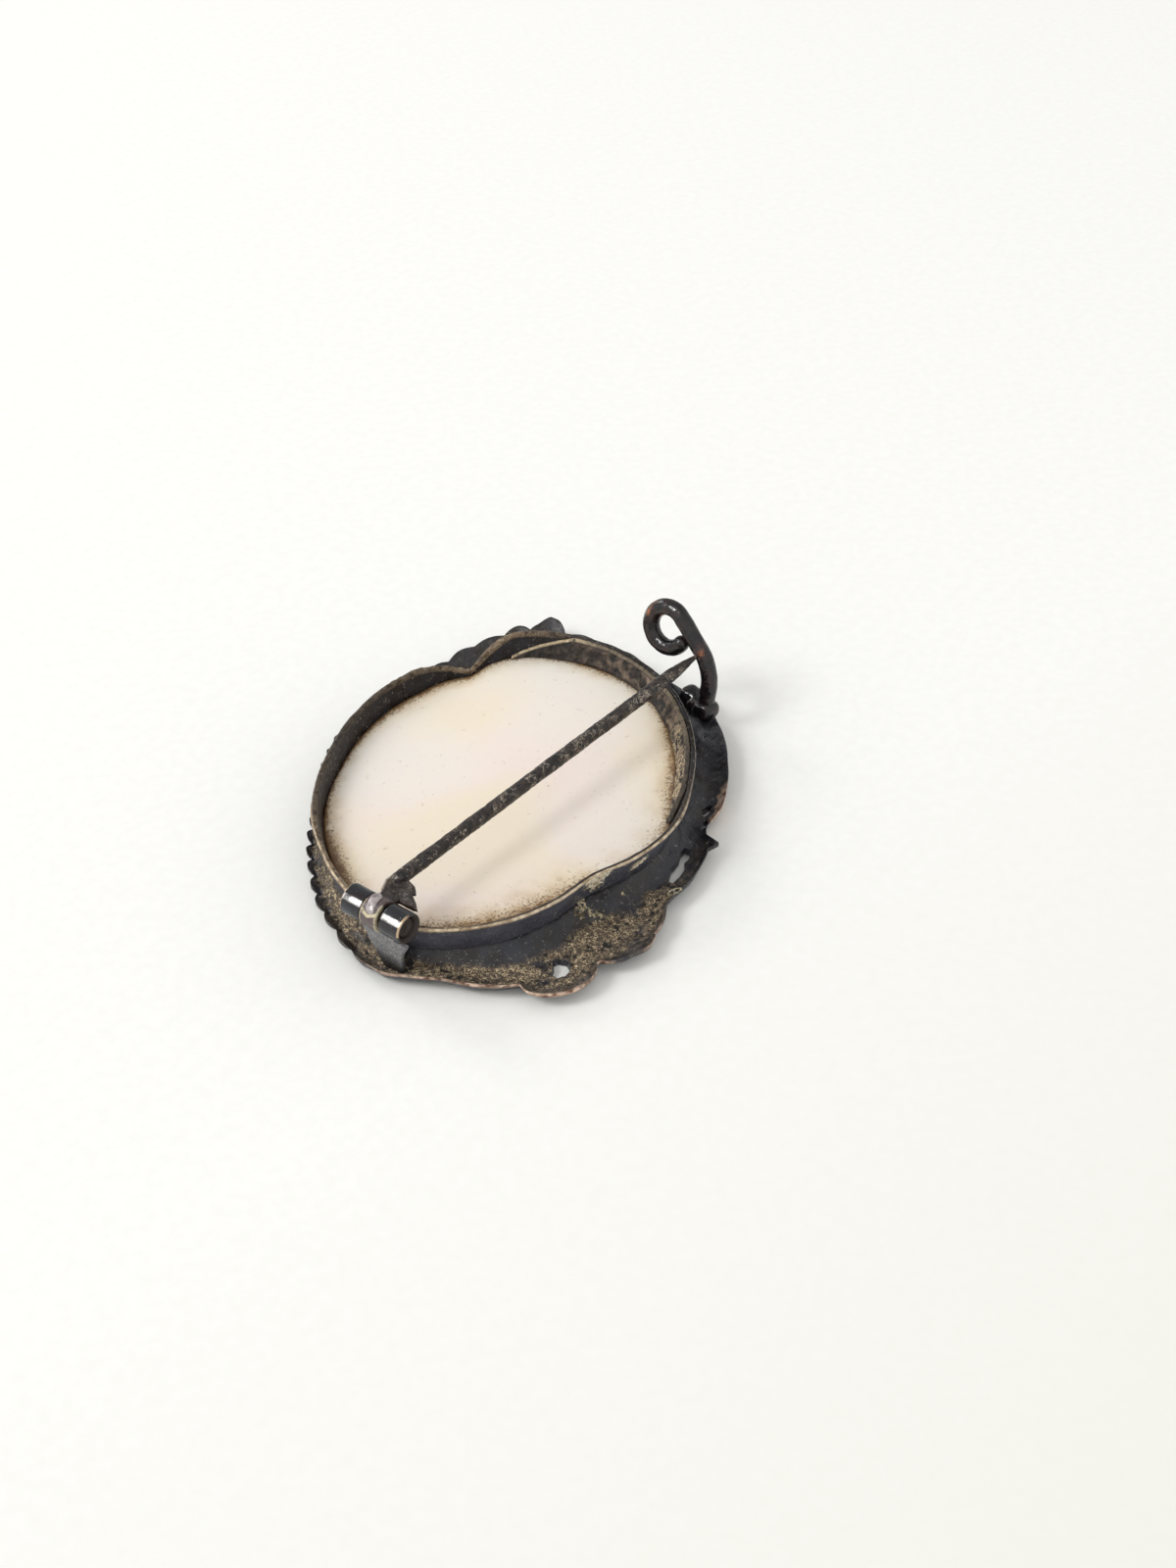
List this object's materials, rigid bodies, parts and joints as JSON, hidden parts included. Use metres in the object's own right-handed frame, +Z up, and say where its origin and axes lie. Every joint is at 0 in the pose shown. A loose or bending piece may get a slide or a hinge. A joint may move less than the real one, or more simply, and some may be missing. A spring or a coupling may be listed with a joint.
{
  "type": "brooch",
  "caption": "Old oval brooch lying face down: a shell plaque in a stamped metal mount, with a pin that swings on a tube hinge and an open wire catch.",
  "frame": {"origin": "on the table, under the middle of the brooch", "axes": "+X along the pin from its hinge to its catch, +Y across the brooch, +Z up from the face to the back"},
  "size_m": [0.0408, 0.0344, 0.0095],
  "materials": {
    "mount": "tarnished nearly black, with worn coppery edges",
    "plaque": null,
    "strip": "crusted, with pale scraped edges",
    "pin": "dark and pitted",
    "rivet": "dull"
  },
  "bodies": {
    "brooch": {"mount": "mount", "shell_plaque": "plaque", "retaining_strip": "strip", "hinge_rivet": "rivet"},
    "pin": {"pin": "pin"}
  },
  "joints": [
    {"name": "pin_swing", "type": "hinge", "parent": "brooch", "child": "pin", "pos_m": [-0.01925, -0.00384, 0.0053], "axis": [0, -1, 0], "range_deg": [0, 105]}
  ]
}
